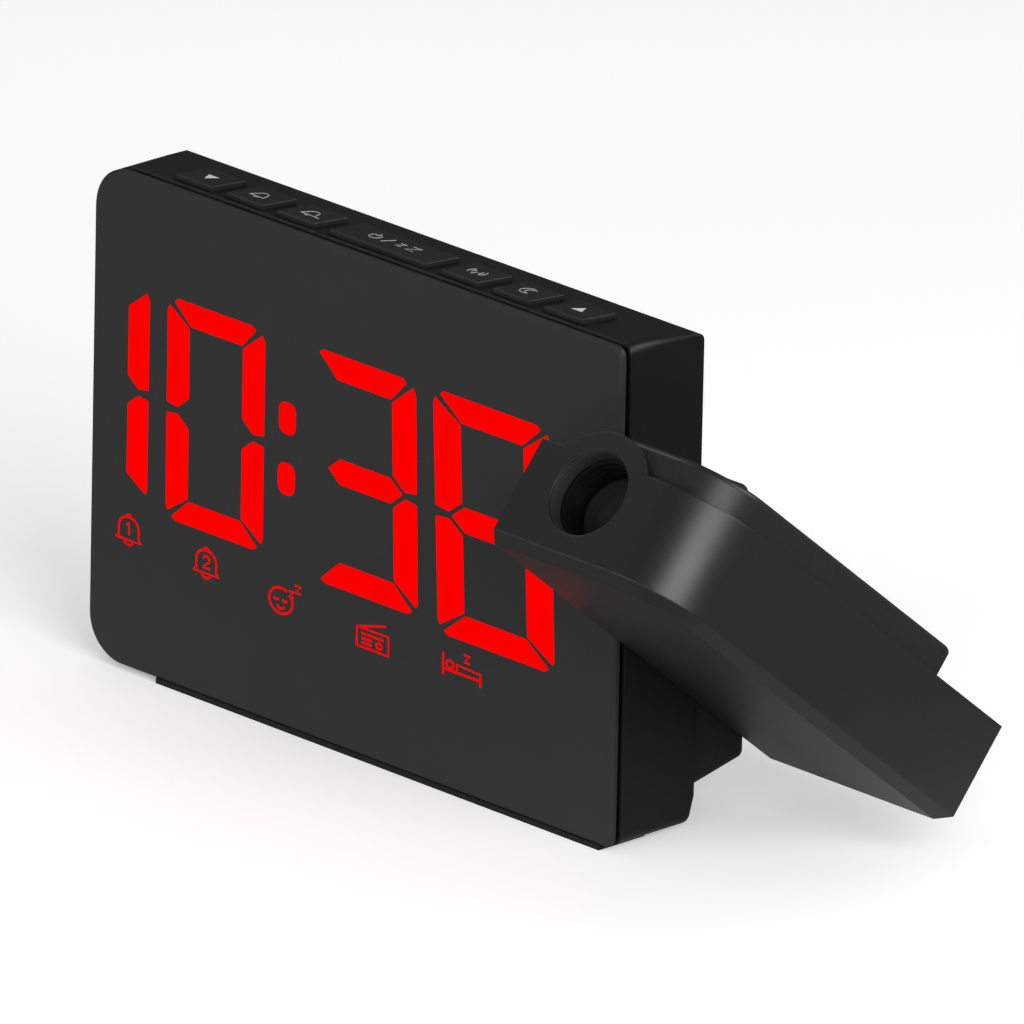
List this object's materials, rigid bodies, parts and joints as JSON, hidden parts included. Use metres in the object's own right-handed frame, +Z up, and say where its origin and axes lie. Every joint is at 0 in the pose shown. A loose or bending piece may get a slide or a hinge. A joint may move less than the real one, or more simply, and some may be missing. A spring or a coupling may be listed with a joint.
{
  "type": "projection alarm clock",
  "caption": "Slim desk alarm clock with a lit digit window, a row of top keys, a hollow back and a projector block that swivels at one end.",
  "frame": {"origin": "on the table under the middle of the clock case, halfway through its depth", "axes": "+X along the case towards the projector block, +Y from the display window to the back, +Z up"},
  "size_m": [0.1721, 0.0808, 0.0917],
  "materials": {
    "case_plastic": "fine matt black",
    "cover_plastic": "fine matt black",
    "inner_plastic": "smooth black",
    "window_plastic": "polished smoked window",
    "reflector_plastic": "matt black",
    "red_light": "lit red",
    "circuit_board": "green lacquer",
    "switch_plastic": "moulded",
    "key_plastic": "fine matt black",
    "screw_steel": "blackened steel",
    "speaker_steel": "dark lacquer",
    "contact_metal": "plated",
    "cell_steel": "bright steel",
    "foot_rubber": "matt",
    "washer_rubber": "matt",
    "spindle_plastic": "smooth black",
    "cable_plastic": "smooth black",
    "barrel_plastic": "deep black",
    "lens_glass": "clear",
    "lamp_plastic": "clear epoxy"
  },
  "bodies": {
    "case": {"housing": "case_plastic", "display_frame": "inner_plastic", "display_panel": "window_plastic", "rear_cover": "case_plastic", "case_screws": "screw_steel", "digit_reflector": "reflector_plastic", "digit_segments": "red_light", "display_board": "circuit_board", "main_board": "circuit_board", "key_board": "circuit_board", "key_board_screws": "screw_steel", "key_switches": "switch_plastic", "speaker": "speaker_steel", "battery_door": "case_plastic", "battery_door_screw": "screw_steel", "cell_contact": "contact_metal", "coin_cell": "cell_steel", "dc_jack": "inner_plastic", "usb_port": "contact_metal", "front_foot": "foot_rubber", "rear_feet": "foot_rubber", "pivot_bush": "spindle_plastic", "friction_washer": "washer_rubber", "projector_cable": "cable_plastic"},
    "key_down": {"key_down": "key_plastic"},
    "key_alarm_one": {"key_alarm_one": "key_plastic"},
    "key_alarm_two": {"key_alarm_two": "key_plastic"},
    "key_snooze": {"key_snooze": "key_plastic"},
    "key_radio": {"key_radio": "key_plastic"},
    "key_sleep": {"key_sleep": "key_plastic"},
    "key_up": {"key_up": "key_plastic"},
    "projector": {"pivot_spindle": "spindle_plastic", "retaining_ring": "screw_steel", "projector_shell": "case_plastic", "projector_cover": "cover_plastic", "projector_screws": "screw_steel", "optic_holder": "barrel_plastic", "image_slide": "lens_glass", "condenser_lens": "lens_glass", "led_board": "circuit_board", "projection_led": "lamp_plastic"},
    "focus": {"focus_barrel": "barrel_plastic", "projection_lens": "lens_glass"}
  },
  "joints": [
    {"name": "projector_swivel", "type": "hinge", "parent": "case", "child": "projector", "pos_m": [0.0653, 0.0026, 0.045], "axis": [1, 0, 0], "range_deg": [-140.8, 39.2]},
    {"name": "focus_turn", "type": "hinge", "parent": "projector", "child": "focus", "pos_m": [0.0808, -0.02544, 0.06916], "axis": [0, -0.7749, 0.632], "range_deg": [-90, 90]},
    {"name": "key_down_press", "type": "slide", "parent": "case", "child": "key_down", "axis": [0, 0, -1], "range_m": [0, 0.0005], "stiffness_N_per_m": 400, "springref_m": -0.0015},
    {"name": "key_alarm_one_press", "type": "slide", "parent": "case", "child": "key_alarm_one", "axis": [0, 0, -1], "range_m": [0, 0.0005], "stiffness_N_per_m": 400, "springref_m": -0.0015},
    {"name": "key_alarm_two_press", "type": "slide", "parent": "case", "child": "key_alarm_two", "axis": [0, 0, -1], "range_m": [0, 0.0005], "stiffness_N_per_m": 400, "springref_m": -0.0015},
    {"name": "key_snooze_press", "type": "slide", "parent": "case", "child": "key_snooze", "axis": [0, 0, -1], "range_m": [0, 0.0005], "stiffness_N_per_m": 400, "springref_m": -0.0015},
    {"name": "key_radio_press", "type": "slide", "parent": "case", "child": "key_radio", "axis": [0, 0, -1], "range_m": [0, 0.0005], "stiffness_N_per_m": 400, "springref_m": -0.0015},
    {"name": "key_sleep_press", "type": "slide", "parent": "case", "child": "key_sleep", "axis": [0, 0, -1], "range_m": [0, 0.0005], "stiffness_N_per_m": 400, "springref_m": -0.0015},
    {"name": "key_up_press", "type": "slide", "parent": "case", "child": "key_up", "axis": [0, 0, -1], "range_m": [0, 0.0005], "stiffness_N_per_m": 400, "springref_m": -0.0015}
  ]
}
